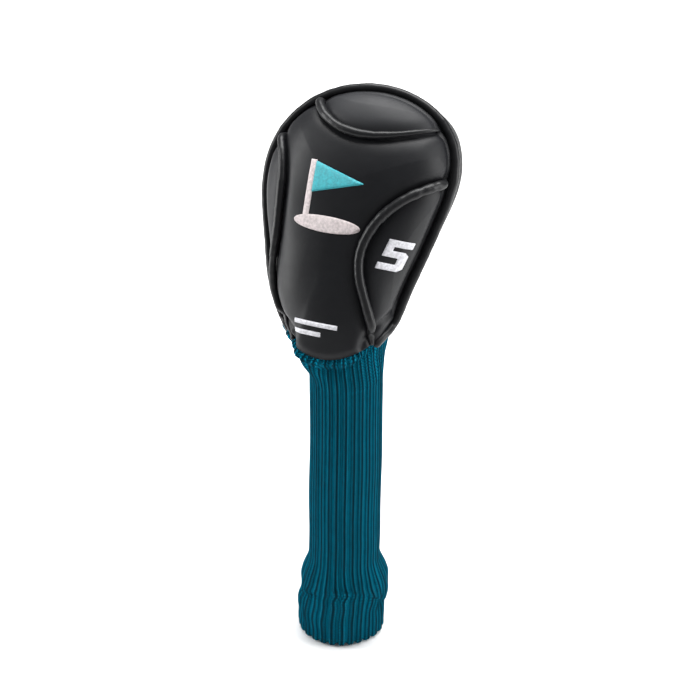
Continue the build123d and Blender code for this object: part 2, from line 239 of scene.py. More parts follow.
TOE_UV, TOE_LINE = seam_line(TOE_SEAM)
LEFT_UV, LEFT_LINE = seam_line(LEFT_SEAM)
RIGHT_UV, RIGHT_LINE = seam_line(RIGHT_SEAM)
_rim_uv = spline(RIM, 1400, closed=True)
_rim_uv = np.roll(_rim_uv, -int(np.argmin(_rim_uv[:, 1])), axis=0)
_tongue_uv = spline(TONGUE, SEAM_POINTS)
_inside = np.linalg.norm(_tongue_uv - HEART, axis=1) < wall_reach(
    np.arctan2(_tongue_uv[:, 1] - HEART[1], _tongue_uv[:, 0] - HEART[0]))
MOUTH_LINE = face_base(*polar_of(_tongue_uv[_inside]))
RIGHT_END_V, LEFT_END_V = 33.0, 27.0
_keep = np.flatnonzero(_rim_uv[:, 1] > np.where(_rim_uv[:, 0] > 0, RIGHT_END_V, LEFT_END_V))
RIM_UV = _rim_uv[_keep[0]:_keep[-1] + 1]
# At both ends the piping leaves the wall and follows the mouth up onto the face
RIGHT_TAIL = spline([(28.4, 29.5), (26.3, 22.8), (24.0, 16.6), (21.6, 11.2), (19.0, 6.6)], 60)
LEFT_TAIL = spline([(-45.6, 20.5), (-40.6, 14.4), (-35.0, 9.6), (-29.0, 5.6)], 60)
_tails = [face_base(*polar_of(tail)) for tail in (RIGHT_TAIL, LEFT_TAIL)]
RIM_LINE = np.vstack([_tails[0][::-1], RIM_UV[:, :1] * AXIS_U + RIM_UV[:, 1:] * AXIS_V, _tails[1]])
BACK_EDGE = WALL[:, :1] * AXIS_U + WALL[:, 1:] * BACK_V - GUSSET_DEPTH * AXIS_W


def face_lift(p):
    """How far the padded leather stands off the plain surface: it dips into each seam."""
    rim = distance(p, RIM_LINE)
    toe = distance(p, TOE_LINE)
    left = distance(p, LEFT_LINE)
    right = distance(p, RIGHT_LINE)
    mouth = distance(p, MOUTH_LINE)
    near = np.minimum.reduce([rim, toe, left, right])
    lift = smooth(near, 3, 24) * smooth(mouth, 0, 30)
    lift -= 1.9 * np.exp(-((rim - 4.4) / np.where(rim < 4.4, 2.2, 3.0)) ** 2)
    lift -= 1.7 * np.exp(-(np.maximum(toe - 1.8, 0) / 3.4) ** 1.4)
    lift -= 1.8 * np.exp(-(np.maximum(left - 1.8, 0) / 3.6) ** 1.4)
    lift -= 1.8 * np.exp(-(np.maximum(right - 1.8, 0) / 3.6) ** 1.4)
    lift -= 0.9 * np.exp(-(mouth / 2.2) ** 2)
    calm = smooth(near, 2, 12)
    lift += calm * (0.28 * noise(p, 3, 46) + 0.10 * noise(p, 4, 19))
    return lift


def outward(surface, phi, theta, core):
    """Point of a plain surface and its normal, which is turned away from the core."""
    base = surface(phi, theta)
    e = 1e-3
    low, high = np.maximum(theta - e, 1e-4), np.minimum(theta + e, math.pi / 2)
    off_pole = np.maximum(theta, 2e-3)
    around = surface(phi + e, off_pole) - surface(phi - e, off_pole)
    normal = np.cross(surface(phi, high) - surface(phi, low), around)
    normal /= np.linalg.norm(normal, axis=1)[:, None]
    normal *= np.sign((normal * (base - core)).sum(1))[:, None]
    return base, normal


def face_point(phi, theta, depth=0.0):
    """Point of the face with its padding, depth below the leather's outside, and its normal."""
    base, normal = outward(face_base, phi, theta, HEART[0] * AXIS_U + HEART[1] * AXIS_V + 8 * AXIS_W)
    return base + normal * (face_lift(base) - depth)[:, None], normal


def on_face(uv, height):
    """Points of the padded face that are seen at u, v, raised by height."""
    base = uv.copy()
    for _ in range(12):
        p, _ = face_point(*polar_of(base))
        base = base + 0.7 * (uv - seen(p))
    p, normal = face_point(*polar_of(base))
    return p + normal * height


def back_lift(p):
    """How far the padded back stands off the plain surface: it dips into its edge seam."""
    edge = distance(p, BACK_EDGE)
    lift = 0.8 * smooth(edge, 2, 22) - 1.0 * np.exp(-(edge / 2.4) ** 1.5)
    return lift + smooth(edge, 2, 14) * (0.35 * noise(p, 5, 42) + 0.12 * noise(p, 6, 17))


def back_point(phi, theta, depth=0.0):
    """Point of the padded back, depth below the leather's outside, and its normal."""
    core = HEART[0] * AXIS_U + HEART[1] * BACK_V - (GUSSET_DEPTH + 3) * AXIS_W
    base, normal = outward(back_base, phi, theta, core)
    return base + normal * (back_lift(base) - depth)[:, None], normal


def dome(point, n_phi, n_theta, depth):
    """Grid over a padded dome, depth below the leather's outside. Returns points and triangles."""
    theta = np.linspace(0, math.pi / 2, n_theta + 1)[1:]
    phi = np.linspace(-math.pi, math.pi, n_phi, endpoint=False)
    tt, pp = np.meshgrid(theta, phi, indexing="ij")
    p, _ = point(np.r_[0.0, pp.ravel()], np.r_[1e-4, tt.ravel()], depth)
    rows = np.arange(n_theta * n_phi).reshape(n_theta, n_phi) + 1
    nxt = np.roll(rows, -1, axis=1)
    fan = np.stack([np.zeros(n_phi, int), rows[0], nxt[0]], 1)
    a, b, c, d = rows[:-1].ravel(), rows[1:].ravel(), nxt[1:].ravel(), nxt[:-1].ravel()
    tris = np.vstack([fan, np.stack([a, b, c], 1), np.stack([a, c, d], 1)])
    return p, tris


def seen(p):
    """Place of each point seen square on to the face."""
    return np.stack([p @ AXIS_U, p @ AXIS_V], 1)


def above_hem(p):
    """Positive above the mouth's edge on the gusset and the back."""
    uv = seen(p)
    rise = 13.5 * smooth(-uv[:, 0], 22, 44) * smooth(p @ AXIS_W, -9.5, -1.0)
    return signed(uv, HEM) - rise


def clip(p, tris, field):
    """Keeps the part of a triangle mesh where field is positive; also returns the new edge points."""
    keep = field > 0
    inside = keep[tris].sum(1)
    whole = tris[inside == 3]
    new_points, lookup, parts = [], {}, [whole]
    cut = tris[(inside == 1) | (inside == 2)]
    made = []

    def crossing(i, j):
        key = (i, j) if i < j else (j, i)
        if key not in lookup:
            t = field[key[0]] / (field[key[0]] - field[key[1]])
            lookup[key] = len(p) + len(new_points)
            new_points.append(p[key[0]] + t * (p[key[1]] - p[key[0]]))
        return lookup[key]

    for tri in cut.tolist():
        k = [keep[i] for i in tri]
        while not (k[0] and not k[2]):
            tri = tri[1:] + tri[:1]
            k = k[1:] + k[:1]
        a, b, c = tri
        ac = crossing(a, c)
        if k[1]:
            bc = crossing(b, c)
            made += [(a, b, bc), (a, bc, ac)]
        else:
            made.append((a, crossing(a, b), ac))
    if made:
        parts.append(np.array(made))
    edge = np.array(new_points).reshape(-1, 3)
    points = np.vstack([p, edge])
    tris = np.vstack(parts)
    used, inverse = np.unique(tris, return_inverse=True)
    return points[used], inverse.reshape(-1, 3), edge


def make(name, points, faces, material, attributes=None):
    """Mesh object from points in millimetres."""
    mesh = bpy.data.meshes.new(name)
    points = np.asarray(points, np.float32) * MM
    faces = np.asarray(faces, np.int32)
    mesh.vertices.add(len(points))
    mesh.vertices.foreach_set("co", points.ravel())
    mesh.loops.add(faces.size)
    mesh.loops.foreach_set("vertex_index", faces.ravel())
    mesh.polygons.add(len(faces))
    size = faces.shape[1]
    mesh.polygons.foreach_set("loop_start", np.arange(0, faces.size, size, dtype=np.int32))
    for key, values in (attributes or {}).items():
        made = mesh.attributes.new(key, "FLOAT", "POINT")
        made.data.foreach_set("value", np.asarray(values, np.float32))
    mesh.update(calc_edges=True)
    mesh.validate()
    mesh.polygons.foreach_set("use_smooth", np.full(len(mesh.polygons), True))
    obj = bpy.data.objects.new(name, mesh)
    bpy.context.scene.collection.objects.link(obj)
    mesh.materials.append(material)
    return obj


def thicken(obj, thickness):
    """Gives a skin its thickness in mm, inwards."""
    mod = obj.modifiers.new("thickness", "SOLIDIFY")
    mod.thickness = thickness * MM
    mod.offset = -1
    mod.use_even_offset = False
    return obj


def strip(grid, close_u=True, close_v=False):
    """Quads over a grid of points, rows by columns."""
    rows, cols = grid.shape[:2]
    ids = np.arange(rows * cols).reshape(rows, cols)
    right = np.roll(ids, -1, axis=1)
    down = np.roll(ids, -1, axis=0)
    both = np.roll(right, -1, axis=0)
    quads = np.stack([ids, right, both, down], 2)
    if not close_v:
        quads = quads[:-1]
    if not close_u:
        quads = quads[:, :-1]
    return grid.reshape(-1, 3), quads.reshape(-1, 4)


def run_along(path):
    """Length of a path up to each of its points."""
    return np.r_[0, np.cumsum(np.linalg.norm(np.diff(path, axis=0), axis=1))]


def frames_along(path):
    """Two normals that don't twist along a path."""
    t = np.gradient(path, axis=0)
    t /= np.linalg.norm(t, axis=1)[:, None]
    n = np.empty_like(t)
    n[0] = np.cross(t[0], [0.3, 0.5, 0.8])
    n[0] /= np.linalg.norm(n[0])
    for i in range(1, len(t)):
        n[i] = n[i - 1] - t[i] * (n[i - 1] @ t[i])
        n[i] /= np.linalg.norm(n[i])
    return n, np.cross(t, n)


def tube(path, radius, sides=28, ripple=0.0, seed=1):
    """Round tube along a path; radius is one number or one per point."""
    n, b = frames_along(path)
    a = np.linspace(0, 2 * math.pi, sides, endpoint=False)
    r = np.broadcast_to(np.asarray(radius, float), (len(path),))[:, None, None]
    ring = np.cos(a)[None, :, None] * n[:, None] + np.sin(a)[None, :, None] * b[:, None]
    if ripple:
        probe = np.stack([np.repeat(run_along(path)[:, None], sides, 1) * 3.0,
                          np.repeat(np.cos(a)[None] * 3, len(path), 0),
                          np.repeat(np.sin(a)[None] * 3, len(path), 0)], 2).reshape(-1, 3)
        wave = noise(probe, seed, 9) * 0.6 + noise(probe, seed + 1, 26)
        r = r * (1 + ripple * wave.reshape(len(path), sides, 1))
    return strip(path[:, None] + ring * r)


def resample(path, step):
    """Path with points about a step apart."""
    d = run_along(path)
    t = np.linspace(0, d[-1], max(int(d[-1] / step), 4))
    return np.stack([np.interp(t, d, path[:, k]) for k in range(3)], 1)


def soften(path, passes):
    """Path with its corners eased; the two ends stay."""
    for _ in range(passes):
        path = np.vstack([path[:1], (path[:-2] + 2 * path[1:-1] + path[2:]) / 4, path[-1:]])
    return path


# ------------------------------------------------------------------ materials
def new_material(name, colour, roughness, **extra):
    """Plain material; extra sets more of the shader's own sockets."""
    mat = bpy.data.materials.new(name)
    mat.use_nodes = True
    tree = mat.node_tree
    shader = tree.nodes["Principled BSDF"]
    shader.inputs["Base Color"].default_value = (*colour, 1)
    shader.inputs["Roughness"].default_value = roughness
    for key, value in extra.items():
        shader.inputs[key.replace("_", " ")].default_value = value
    return mat, tree, shader


def node(tree, kind, inputs=None, **settings):
    """Shader node; an input is a value or another node's socket."""
    made = tree.nodes.new(kind)
    for key, value in settings.items():
        setattr(made, key, value)
    for key, value in (inputs or {}).items():
        socket = made.inputs[key]
        if isinstance(value, bpy.types.NodeSocket):
            tree.links.new(value, socket)
        else:
            socket.default_value = value
    return made


def maths(tree, operation, a, b=None):
    values = {i: v for i, v in enumerate((a, b)) if v is not None}
    return node(tree, "ShaderNodeMath", values, operation=operation).outputs[0]


def ramp(tree, factor, low, high, at):
    made = node(tree, "ShaderNodeValToRGB", {"Fac": factor})
    made.color_ramp.elements[0].position, made.color_ramp.elements[1].position = at
    made.color_ramp.elements[0].color = (*low, 1)
    made.color_ramp.elements[1].color = (*high, 1)
    return made.outputs["Color"]


def object_place(tree):
    """Place on the object, in metres."""
    return node(tree, "ShaderNodeTexCoord").outputs["Object"]


def cloudy(tree, where, scale, detail, **more):
    """Smooth random value from 0 to 1."""
    inputs = {"Vector": where, "Scale": scale, "Detail": detail, **more}
    return node(tree, "ShaderNodeTexNoise", inputs).outputs["Fac"]


def add_bump(tree, shader, height, strength, distance_m):
    bump = node(tree, "ShaderNodeBump", {"Strength": strength, "Distance": distance_m, "Height": height})
    tree.links.new(bump.outputs["Normal"], shader.inputs["Normal"])


def add_colour(tree, shader, factor, colour, low, high, at=(0.3, 0.7)):
    """Shades the colour from low to high times itself as factor goes from one stop to the other."""
    dark = tuple(c * low for c in colour)
    light = tuple(min(c * high, 1) for c in colour)
    tree.links.new(ramp(tree, factor, dark, light, at), shader.inputs["Base Color"])


def leather(name, colour, roughness, grain=0.35):
    """Fine grain of small cells with soft creases."""
    mat, tree, shader = new_material(name, colour, roughness, Specular_IOR_Level=0.24)
    where = object_place(tree)
    cells = node(tree, "ShaderNodeTexVoronoi", {"Vector": where, "Scale": 900.0},
                 feature="DISTANCE_TO_EDGE").outputs["Distance"]
    creases = cloudy(tree, where, 260.0, 6.0, Roughness=0.6)
    cloud = cloudy(tree, where, 22.0, 3.0)
    flat_cells = maths(tree, "MINIMUM", cells, 0.16)
    height = maths(tree, "ADD", flat_cells, maths(tree, "MULTIPLY", creases, 0.45))
    add_bump(tree, shader, height, grain, 0.0002)
    add_colour(tree, shader, cloud, colour, 0.82, 1.2)
    rough = node(tree, "ShaderNodeMapRange", {"Value": creases, "To Min": roughness - 0.05,
                                              "To Max": roughness + 0.09})
    tree.links.new(rough.outputs["Result"], shader.inputs["Roughness"])
    return mat


def knit(name, colour):
    """Rib knit: chevron stitches drawn from the wale and course coordinates of the mesh, with painted
    shade in the valleys between the ribs.
    """
    mat, tree, shader = new_material(name, colour, 0.95, Specular_IOR_Level=0.05)
    wale = node(tree, "ShaderNodeAttribute", attribute_name="wale").outputs["Fac"]
    course = node(tree, "ShaderNodeAttribute", attribute_name="course").outputs["Fac"]
    third = maths(tree, "FRACT", maths(tree, "MULTIPLY", wale, 3.0))
    x = maths(tree, "ABSOLUTE", maths(tree, "SUBTRACT", third, 0.5))
    slant = maths(tree, "FRACT", maths(tree, "SUBTRACT", course, maths(tree, "MULTIPLY", x, 1.5)))
    strand = maths(tree, "SINE", maths(tree, "MULTIPLY", slant, math.pi))
    edge = maths(tree, "SUBTRACT", 1.0, maths(tree, "POWER", maths(tree, "MULTIPLY", x, 2.0), 3.0))
    # Painted shade: the colour darkens towards the valleys between the ribs, where shade falls
    place_in_rib = maths(tree, "ABSOLUTE", maths(tree, "SUBTRACT", maths(tree, "FRACT", wale), 0.5))
    limits = {"From Min": 0.24, "From Max": 0.46, "To Min": 1.0, "To Max": 0.34}
    painted_valley_shade = node(tree, "ShaderNodeMapRange", {"Value": place_in_rib, **limits},
                  interpolation_type="SMOOTHSTEP").outputs["Result"]
    where = object_place(tree)
    fuzz = cloudy(tree, where, 1500.0, 3.0)
    body = maths(tree, "MULTIPLY", strand, edge)
    height = maths(tree, "ADD", body, maths(tree, "MULTIPLY", fuzz, 0.35))
    add_bump(tree, shader, height, 1.0, 0.0009)
    patch = cloudy(tree, where, 60.0, 4.0)
    number = maths(tree, "FLOOR", maths(tree, "MULTIPLY", wale, 3.0))
    each = node(tree, "ShaderNodeTexWhiteNoise", {"W": number}, noise_dimensions="1D").outputs["Value"]
    grain = cloudy(tree, where, 620.0, 2.0)
    stitch = maths(tree, "ADD", maths(tree, "MULTIPLY", body, 0.66), maths(tree, "MULTIPLY", patch, 0.16))
    stitch = maths(tree, "ADD", stitch, maths(tree, "MULTIPLY", grain, 0.34))
    dyed = maths(tree, "ADD", 0.80, maths(tree, "MULTIPLY", each, 0.36))
    # The painted valley shade multiplies the stitch pattern and the dye
    shade = maths(tree, "MULTIPLY", stitch, maths(tree, "MULTIPLY", painted_valley_shade, dyed))
    add_colour(tree, shader, shade, colour, 0.20, 1.70, (0.22, 0.92))
    return mat


def woven(name, colour, scale=1400.0):
    """Plain weave, squared up to the shell."""
    mat, tree, shader = new_material(name, colour, 0.75, Specular_IOR_Level=0.35, Sheen_Weight=0.2)
    where = object_place(tree)
    turned = node(tree, "ShaderNodeMapping", {"Vector": where, "Rotation": (LEAN_BACK, 0.0, 0.0)})
    axes = node(tree, "ShaderNodeSeparateXYZ", {"Vector": turned.outputs["Vector"]})
    side = maths(tree, "ADD", axes.outputs["X"], axes.outputs["Y"])
    a = maths(tree, "SINE", maths(tree, "MULTIPLY", side, scale * 2))
    b = maths(tree, "SINE", maths(tree, "MULTIPLY", axes.outputs["Z"], scale * 2))
    add_bump(tree, shader, maths(tree, "MULTIPLY", a, b), 0.5, 0.0002)
    add_colour(tree, shader, cloudy(tree, where, 80.0, 4.0), colour, 0.7, 1.3)
    return mat


def thread(name, colour):
    """Satin stitch: fine parallel threads across the shape, a pitch apart in mm."""
    pitch = 0.42
    mat, tree, shader = new_material(name, colour, 0.42, Specular_IOR_Level=0.5, Sheen_Weight=0.15)
    across = node(tree, "ShaderNodeAttribute", attribute_name="across").outputs["Fac"]
    lane = maths(tree, "SINE", maths(tree, "MULTIPLY", across, 2 * math.pi / pitch))
    fine = cloudy(tree, object_place(tree), 700.0, 4.0)
    add_bump(tree, shader, maths(tree, "ADD", maths(tree, "MULTIPLY", lane, 0.5), fine), 0.6, 0.0002)
    shade = maths(tree, "ADD", maths(tree, "MULTIPLY", lane, 0.22), fine)
    add_colour(tree, shader, shade, colour, 0.62, 1.2)
    return mat


def felt(name, colour):
    """Fuzzy fibre, for foam, fleece and cord."""
    mat, tree, shader = new_material(name, colour, 0.95, Specular_IOR_Level=0.2, Sheen_Weight=0.4)
    fuzz = cloudy(tree, object_place(tree), 420.0, 6.0)
    add_bump(tree, shader, fuzz, 0.6, 0.0005)
    add_colour(tree, shader, fuzz, colour, 0.6, 1.3)
    return mat


BLACK = leather("leather_black", (0.0060, 0.0064, 0.0078), 0.43)
# Painted light: the black leather again, made lighter for the panels that face the lamps
BLACK_PAINTED_LIGHTER = leather("leather_black_painted_lighter", (0.0150, 0.0155, 0.0175), 0.47)
WELT = leather("leather_welt", (0.0080, 0.0083, 0.0092), 0.33, grain=0.25)
BACK_LEATHER = leather("leather_back", (0.0060, 0.0064, 0.0078), 0.46)
CLOTH = woven("gusset_cloth", (0.0060, 0.0064, 0.0075))
TEAL = knit("knit_teal", (0.0002, 0.135, 0.215))
SILVER = thread("thread_silver", (0.60, 0.53, 0.53))
WHITE = thread("thread_white", (0.66, 0.66, 0.70))
TURQUOISE = thread("thread_turquoise", (0.012, 0.36, 0.42))
FOAM = felt("foam_grey", (0.16, 0.16, 0.17))
LINING = felt("lining_fleece", (0.05, 0.05, 0.055))
CORD = felt("filler_cord", (0.5, 0.49, 0.46))
ELASTIC = woven("elastic_band", (0.35, 0.35, 0.35), scale=900.0)


# ------------------------------------------------------------------ padded shell
def place(obj, body, node_name):
    """Rides the piece on its body, in place of its node of the CAD."""
    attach(obj, body)
    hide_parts(node_name)
    return obj


def halved(quads):
    """Two triangles for each quad."""
    return np.vstack([quads[:, [0, 1, 2]], quads[:, [0, 2, 3]]])


FINE = ((640, 170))
ROUGH = (150, 44)


def face_piece(name, zone, material, node_name, size, depth, thickness, hem=0.0):
    """A panel, pad or lining of the face: the part of the dome that lies in its zone."""
    p, tris = dome(face_point, *size, depth)
    p, tris, _ = clip(p, tris, signed(seen(p), [(u, v + hem) for u, v in TONGUE]))
    for seam, sign in zone:
        p, tris, _ = clip(p, tris, sign * signed(seen(p), seam))
    return place(thicken(make(name, p, tris, material), thickness), "shell", node_name)


ZONES = {
    "front_centre": [(TOE_SEAM, -1), (LEFT_SEAM, 1), (RIGHT_SEAM, -1)],
    "toe": [(TOE_SEAM, 1)],
    "left_side": [(LEFT_SEAM, -1)],
    "right_side": [(RIGHT_SEAM, 1)],
}
# The toe and left panels take the lighter copy of the black leather: painted light
for zone, leather_kind in (("front_centre", BLACK), ("toe", BLACK_PAINTED_LIGHTER),
                           ("left_side", BLACK_PAINTED_LIGHTER), ("right_side", BLACK)):
    face_piece(zone + "_panel_skin", ZONES[zone], leather_kind, zone + "_panel", FINE, 0.0, SKIN_THICKNESS)
for zone, pad in (("front_centre", "front_centre_foam"), ("toe", "toe_foam"),
                  ("left_side", "left_foam"), ("right_side", "right_foam")):
    made = face_piece(pad + "_pad", ZONES[zone], FOAM, pad, ROUGH, FOAM_DEPTH, FOAM_THICKNESS, FOAM_HEM)
face_piece("front_lining_fleece", [], LINING, "front_lining", ROUGH, LINING_DEPTH, LINING_THICKNESS)


def wall_ring(depth, rows):
    """Gusset from the rim to the back panel's edge, drawn in by depth."""
    step = len(WALL) // 720
    out = offset_outline(WALL, 1.0) - WALL
    line, out = WALL[::step], out[::step]
    t = np.linspace(0, 1, rows)
    wall_width = 14
    right_side = smooth((line - HEART) @ np.array([0.99, 0.1]), 28, 50)
    bulge = np.sin(math.pi * t) ** 0.8
    lift = 1.1 * np.sin(math.pi * t)
    lift -= 0.4 * np.exp(-(t * wall_width / 2.5) ** 2)
    lift -= 0.9 * np.exp(-((1 - t) * wall_width / 2.0) ** 2)
    near = line[:, :1] * AXIS_U + line[:, 1:] * AXIS_V
    far = line[:, :1] * AXIS_U + line[:, 1:] * BACK_V - GUSSET_DEPTH * AXIS_W
    push = out[:, :1] * AXIS_U + out[:, 1:] * AXIS_V
    lift = lift[:, None] + 2.4 * bulge[:, None] * right_side
    grid = near + t[:, None, None] * (far - near) + (lift[..., None] - depth) * push
    p, quads = strip(grid)
    p = p + noise(p, 8, 30)[:, None] * 0.15 * np.tile(push, (rows, 1))
    return clip(p, halved(quads), above_hem(p))


def back_piece(name, material, node_name, size, depth, thickness):
    """A layer of the back, and the points of its hem."""
    p, tris = dome(back_point, *size, depth)
    p, tris, edge = clip(p, tris[:, ::-1], above_hem(p))
    return place(thicken(make(name, p, tris, material), thickness), "shell", node_name), edge


gusset_edge = []
for name, material, node_name, rows, depth, thickness in (
        ("side_gusset_cloth", CLOTH, "side_gusset", 26, 0.0, SKIN_THICKNESS),
        ("gusset_foam_pad", FOAM, "gusset_foam", 10, FOAM_DEPTH, FOAM_THICKNESS),
        ("gusset_lining_fleece", LINING, "gusset_lining", 10, LINING_DEPTH, LINING_THICKNESS)):
    p, tris, edge = wall_ring(depth, rows)
    gusset_edge.append(edge)
    obj = make(name, p, tris[:, ::-1], material)
    place(thicken(obj, thickness), "shell", node_name)
_, back_edge = back_piece("back_panel_skin", BACK_LEATHER, "back_panel",
                          ((460, 120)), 0.0, SKIN_THICKNESS)
pad, _ = back_piece("back_foam_pad", FOAM, "back_foam", ROUGH, FOAM_DEPTH, FOAM_THICKNESS)
back_piece("back_lining_fleece", LINING, "back_lining", ROUGH, LINING_DEPTH, LINING_THICKNESS)

# ------------------------------------------------------------------ rim piping and welts
STEP = 0.7


def rounded_ends(path, reach=2.5):
    """Share of the full radius along a path: it closes to a rounded tip at both ends."""
    along = run_along(path)
    gap = np.clip(np.minimum(along, along[-1] - along) / reach, 0, 1)
    return np.sqrt(np.maximum(1 - (1 - gap) ** 2, 1e-3))


TAIL_HEIGHT = 1.2
TAIL_SKIP = 8
CORD_INSET = 6
RIM_BEAD, RIM_BEAD_RIGHT = 2.25, 0.55
_right_tail, _left_tail = [on_face(tail, TAIL_HEIGHT)[TAIL_SKIP:] for tail in (RIGHT_TAIL, LEFT_TAIL)]
rim_path = np.vstack([_right_tail[::-1], RIM_UV[:, :1] * AXIS_U + RIM_UV[:, 1:] * AXIS_V, _left_tail])
rim_path = soften(resample(rim_path, STEP), 100)
side = (seen(rim_path) - HEART) / np.linalg.norm(seen(rim_path) - HEART, axis=1)[:, None]
# The bead is thickest at the lower right
bead = RIM_BEAD + RIM_BEAD_RIGHT * smooth(side @ np.array([0.94, -0.34]), -0.1, 0.8)
tail = smooth(-seen(rim_path)[:, 1], -34, -8)
push = 0.35 * (RIM_RADIUS - bead)[:, None] * (side[:, :1] * AXIS_U + side[:, 1:] * AXIS_V)
rim_path = rim_path + push * (1 - tail)[:, None]
bead = bead * (1 - 0.22 * tail) * rounded_ends(rim_path)
obj = make("rim_piping_skin", *tube(rim_path, bead, ripple=0.035, seed=11), WELT)
place(obj, "shell", "rim_piping")
obj = make("rim_filler_cord", *tube(rim_path[CORD_INSET:-CORD_INSET], 1.2, 14), CORD)
place(obj, "shell", "rim_cord")


def welt(name, uv, radius, lift, stations, seed):
    """Rolled welt laid along a seam of the face. stations gives its thickness along its length."""
    path, normal = face_point(*polar_of(uv))
    share = np.interp(np.linspace(0, 1, len(path)), *stations)
    clear = smooth(distance(face_base(*polar_of(uv)), RIM_LINE), 2.0, 9.0)
    path = path + normal * (0.2 + (1.55 + lift * share) * clear)[:, None]
    path = path[(distance(path, RIM_LINE) > 1.3) & (signed(seen(path), TONGUE) > -0.6)]
    path = resample(soften(path, 20), STEP)
    share = np.interp(np.linspace(0, 1, len(path)), *stations)
    share = share * (0.6 + 0.4 * smooth(distance(path, RIM_LINE), 1.0, 8.0)) * rounded_ends(path, 1.6)
    obj = make(name + "_skin", *tube(path, radius * share, ripple=0.05, seed=seed), WELT)
    place(obj, "shell", name)
    inner = slice(CORD_INSET, -CORD_INSET)
    obj = make(name + "_filler_cord", *tube(path[inner], radius * share[inner] * 0.5, 12), CORD)
    place(obj, "shell", name + "_cord")


welt("toe_welt", TOE_UV, 2.5, 0.9, ([0, 0.1, 0.45, 0.75, 1], [0.95, 1.05, 0.95, 0.6, 0.45]), 21)
welt("left_welt", LEFT_UV, 2.15, 0.45, ([0, 0.08, 0.9, 1], [0.85, 1, 1, 0.85]), 31)
welt("right_welt", RIGHT_UV, 2.8, 1.0, ([0, 0.08, 0.88, 1], [0.8, 1, 0.95, 0.75]), 41)


# ------------------------------------------------------------------ embroidery
def polygon_distance(uv, corners):
    """Signed distance to a polygon, positive inside."""
    a = np.asarray(corners, float)
    b = np.roll(a, -1, axis=0)
    ab = b - a
    q = uv[:, None]
    t = np.clip(((q - a) * ab).sum(2) / (ab**2).sum(1), 0, 1)
    d = np.linalg.norm(q - (a + t[..., None] * ab), axis=2).min(1)
    crosses = ((a[:, 1] > q[..., 1]) != (b[:, 1] > q[..., 1])) & (
        q[..., 0] < a[:, 0] + (q[..., 1] - a[:, 1]) * ab[:, 0] / np.where(ab[:, 1] == 0, 1e-9, ab[:, 1]))
    return d * np.where(crosses.sum(1) % 2 == 1, 1, -1)


STITCH_HEIGHT = 0.75
STITCH_MARGIN = 0.4


def stitched(name, corners, material, node_name, direction):
    """Patch of satin stitch on the face; direction is the way the threads are stepped."""
    corners = np.asarray(corners, float)
    step = 0.3
    low, high = corners.min(0) - 1, corners.max(0) + 1
    us, vs = np.arange(low[0], high[0], step), np.arange(low[1], high[1], step)
    grid = np.stack([*np.meshgrid(us, vs), np.zeros((len(vs), len(us)))], 2)
    p, quads = strip(grid, close_u=False)
    p, tris, _ = clip(p, halved(quads), polygon_distance(p[:, :2], corners) + STITCH_MARGIN)
    uv = p[:, :2]
    inside = polygon_distance(uv, corners) + STITCH_MARGIN
    rise = -0.1 + STITCH_HEIGHT * (1 - np.exp(-inside / 0.45))
    surface, normal = face_point(*polar_of(uv))
    across = uv @ (np.array(direction, float) / np.linalg.norm(direction))
    obj = make(name, surface + normal * rise[:, None], tris, material, attributes={"across": across})
    return place(obj, "shell", node_name)


turn = np.linspace(0, 2 * math.pi, 60, endpoint=False)
green = np.stack([-14.5 + 19 * np.cos(turn), 69.5 + 4.2 * np.sin(turn)], 1)
stitched("emblem_green_stitch", green, SILVER, "emblem_pole", (1, 0))
POLE_LEFT, POLE_RIGHT, POLE_TOP = -28.6, -25.6, 103
pole = [(POLE_LEFT, 72.0), (POLE_RIGHT, 72.4), (POLE_RIGHT, POLE_TOP), (POLE_LEFT, POLE_TOP)]
stitched("emblem_pole_stitch", pole, SILVER, "emblem_pole", (0, 1))
pennant = [(POLE_RIGHT, 102.5), (POLE_RIGHT, 86), (2.5, 94.6)]
stitched("emblem_pennant_stitch", pennant, TURQUOISE, "emblem_pennant", (0.3, 1))
# The figure's outline about its own middle, then slanted and set in the right panel
FIVE = np.array([
    (-5.2, 8.6), (6.2, 8.6), (6.2, 5.4), (-1.9, 5.4), (-1.9, 2.5), (4.2, 2.5), (5.9, 0.9), (5.9, -6.4),
    (4.1, -8.0), (-5.6, -8.0), (-5.6, -4.9), (2.5, -4.9), (2.5, -0.6), (-5.2, -0.6)])
five = np.stack([24.0 + FIVE[:, 0] + 0.30 * FIVE[:, 1], 58.5 + FIVE[:, 1] - 0.06 * FIVE[:, 0]], 1)
stitched("number_five_stitch", five, WHITE, "number_five", (1, 0.2))
BAR_LEFT = -24.6
for label, bar_right, level in (("upper", 0.4, 14.0), ("lower", -8.6, 8.6)):
    low, high = level - 1, level + 1
    bar = [(BAR_LEFT, low), (bar_right, low), (bar_right, high), (BAR_LEFT, high)]
    stitched("stitched_bar_" + label + "_thread", bar, WHITE, "stitched_bar_" + label, (1, 0.25))

# ------------------------------------------------------------------ knit sock
RIBS = 27
COLUMNS = RIBS * 16
_front_edge, _ = face_point(*polar_of(_tongue_uv[_inside]))
_loop = np.vstack([_front_edge, gusset_edge[0], back_edge])
_angle = np.arctan2(_loop[:, 1], _loop[:, 0])
_sort = np.argsort(_angle)
_angle, _loop = _angle[_sort], _loop[_sort]
ANGLES = np.linspace(-math.pi, math.pi, COLUMNS + 1)
mouth_r = np.interp(_turn, _angle, np.hypot(_loop[:, 0], _loop[:, 1]), period=2 * math.pi)
mouth_z = np.interp(_turn, _angle, _loop[:, 2], period=2 * math.pi)
for _ in range(60):
    mouth_r = (np.roll(mouth_r, 1) + 2 * mouth_r + np.roll(mouth_r, -1)) / 4
    mouth_z = (np.roll(mouth_z, 1) + 2 * mouth_z + np.roll(mouth_z, -1)) / 4
MOUTH_R = np.interp(ANGLES, _turn, mouth_r, period=2 * math.pi)
